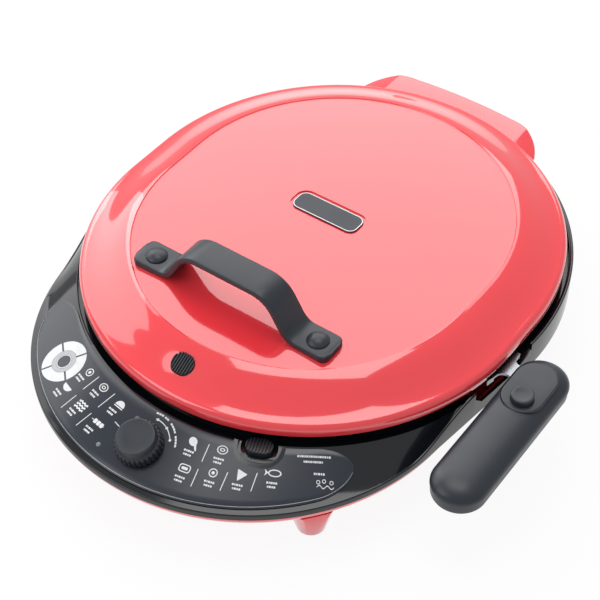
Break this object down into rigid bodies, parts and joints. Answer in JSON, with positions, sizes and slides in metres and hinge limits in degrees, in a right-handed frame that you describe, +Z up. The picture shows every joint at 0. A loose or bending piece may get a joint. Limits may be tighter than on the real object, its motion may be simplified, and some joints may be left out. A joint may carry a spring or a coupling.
{
  "type": "electric pizza maker",
  "caption": "Table-top pizza maker with a hinged domed lid, round lower pan, folding side handle and a sloping front panel with a turning knob.",
  "frame": {"origin": "middle of the part's footprint, on the table under its rubber feet", "axes": "+X to the user's right (the side handle's side), -Y to the front with the knob, +Z up"},
  "size_m": [0.416, 0.48, 0.129],
  "materials": {
    "red": "glossy red, clear and smooth",
    "black_gloss": "glossy black",
    "panel_grey": "matte dark grey, printed",
    "handle_grey": "matte dark grey with a fine grain",
    "knob_grey": "matte near-black",
    "black_matte": "matte black",
    "lens": "clear lens over a dark lamp",
    "pad_rubber": "soft black",
    "coated_aluminium": "cast aluminium under a dark non-stick coat",
    "bright_steel": "bright",
    "reflector_sheet": "bright thin sheet",
    "element_steel": "dark oxidised sheath",
    "brass": "turned",
    "block_plastic": "off-white",
    "wire_red": "silicone-sleeved lead",
    "fuse_ceramic": "off-white sleeve"
  },
  "bodies": {
    "base": {"base_tray": "red", "foot_pads": "pad_rubber", "base_screws": "bright_steel", "base_housing": "black_gloss", "control_panel": "panel_grey", "indicator_lens": "lens", "heat_reflector": "reflector_sheet", "element_brackets": "bright_steel", "lower_heating_element": "element_steel", "temperature_sensor": "bright_steel", "lower_pan": "coated_aluminium", "pan_catch": "bright_steel", "handle_bracket": "bright_steel", "bracket_rivets": "bright_steel", "thermostat": "block_plastic", "thermostat_nut": "bright_steel", "pan_release_spring": "bright_steel", "pan_latch_guide": "black_matte", "terminal_block": "block_plastic", "internal_wiring": "wire_red", "cord_gland": "black_matte", "hinge_pins": "bright_steel", "fold_pin": "bright_steel"},
    "knob": {"control_knob": "knob_grey", "knob_shaft": "brass"},
    "lid": {"lid_shell": "red", "lid_inner_frame": "black_matte", "inner_frame_screws": "bright_steel", "upper_reflector": "reflector_sheet", "upper_element_brackets": "bright_steel", "upper_heating_element": "element_steel", "thermal_fuse": "fuse_ceramic", "upper_plate": "coated_aluminium", "plate_release_spring": "bright_steel", "plate_latch_guide": "black_matte", "badge_plate": "panel_grey", "lid_handle": "handle_grey", "handle_screws": "bright_steel", "handle_nuts": "bright_steel", "handle_caps": "handle_grey"},
    "pan_button": {"pan_release_button": "black_matte"},
    "pan_catch_latch": {"pan_latch": "bright_steel"},
    "plate_button": {"plate_release_button": "black_matte"},
    "plate_catch_latch": {"plate_latch": "bright_steel"},
    "side_handle": {"grip_upper_shell": "handle_grey", "grip_lower_shell": "knob_grey", "grip_screws": "bright_steel", "fold_button_spring": "bright_steel"},
    "handle_button": {"fold_button": "knob_grey"}
  },
  "joints": [
    {"name": "lid_hinge", "type": "hinge", "parent": "base", "child": "lid", "pos_m": [-0.022, 0.229, 0.0625], "axis": [-1, 0, 0], "range_deg": [0, 100]},
    {"name": "knob_turn", "type": "hinge", "parent": "base", "child": "knob", "pos_m": [-0.018, -0.2085, 0.05192], "axis": [0, 0.2676, -0.9635], "range_deg": [0, 100]},
    {"name": "pan_button_press", "type": "slide", "parent": "base", "child": "pan_button", "axis": [0, 0, -1], "range_m": [0, 0.003], "stiffness_N_per_m": 600, "springref_m": -0.001, "deforming": ["pan_release_spring"]},
    {"name": "pan_latch_slide", "type": "slide", "parent": "base", "child": "pan_catch_latch", "axis": [0.3811, -0.9245, 0], "range_m": [0, 0.003]},
    {"name": "plate_button_press", "type": "slide", "parent": "lid", "child": "plate_button", "axis": [0, 0, -1], "range_m": [0, 0.003], "stiffness_N_per_m": 600, "springref_m": -0.001, "deforming": ["plate_release_spring"]},
    {"name": "plate_latch_slide", "type": "slide", "parent": "lid", "child": "plate_catch_latch", "axis": [0, -1, 0], "range_m": [0, 0.003]},
    {"name": "side_handle_fold", "type": "hinge", "parent": "base", "child": "side_handle", "pos_m": [0.187, -0.001, 0.0605], "axis": [0, 0, 1], "range_deg": [0, 90]},
    {"name": "handle_button_press", "type": "slide", "parent": "side_handle", "child": "handle_button", "axis": [0, 0, -1], "range_m": [0, 0.003], "stiffness_N_per_m": 600, "springref_m": -0.001, "deforming": ["fold_button_spring"]}
  ],
  "couplings": [
    {"joint": "pan_latch_slide", "follows": "pan_button_press", "ratio": 1},
    {"joint": "plate_latch_slide", "follows": "plate_button_press", "ratio": 1}
  ]
}
